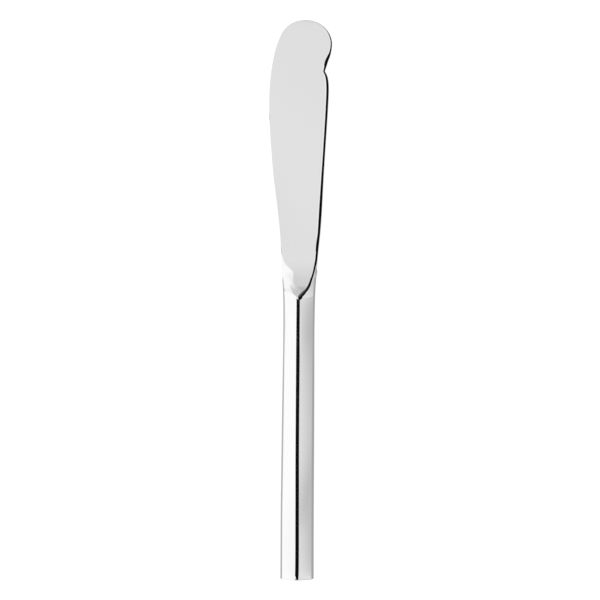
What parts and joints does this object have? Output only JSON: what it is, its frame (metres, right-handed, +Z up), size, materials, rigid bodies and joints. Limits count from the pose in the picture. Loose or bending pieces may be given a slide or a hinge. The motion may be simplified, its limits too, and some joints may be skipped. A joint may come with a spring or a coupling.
{
  "type": "butter knife",
  "caption": "Slim butter knife with a round spreading tip, a notch in the spine and a ridged hollow handle, lying on its flat back.",
  "frame": {"origin": "centre of the knife's outline seen from above, on the plane that the flat back of the handle rests on", "axes": "+Y from the butt to the tip, +Z up from the table towards the arris, +X towards the spine"},
  "size_m": [0.0192, 0.1702, 0.0068],
  "materials": {
    "blade_steel": "forged stainless steel, polished",
    "handle_steel": "pressed stainless steel, mirror polished",
    "filler": "hard cement"
  },
  "bodies": {
    "root": {"blade": "blade_steel", "handle_top_shell": "handle_steel", "handle_bottom_shell": "handle_steel", "butt_cap": "handle_steel", "tang_filler": "filler"}
  },
  "joints": []
}
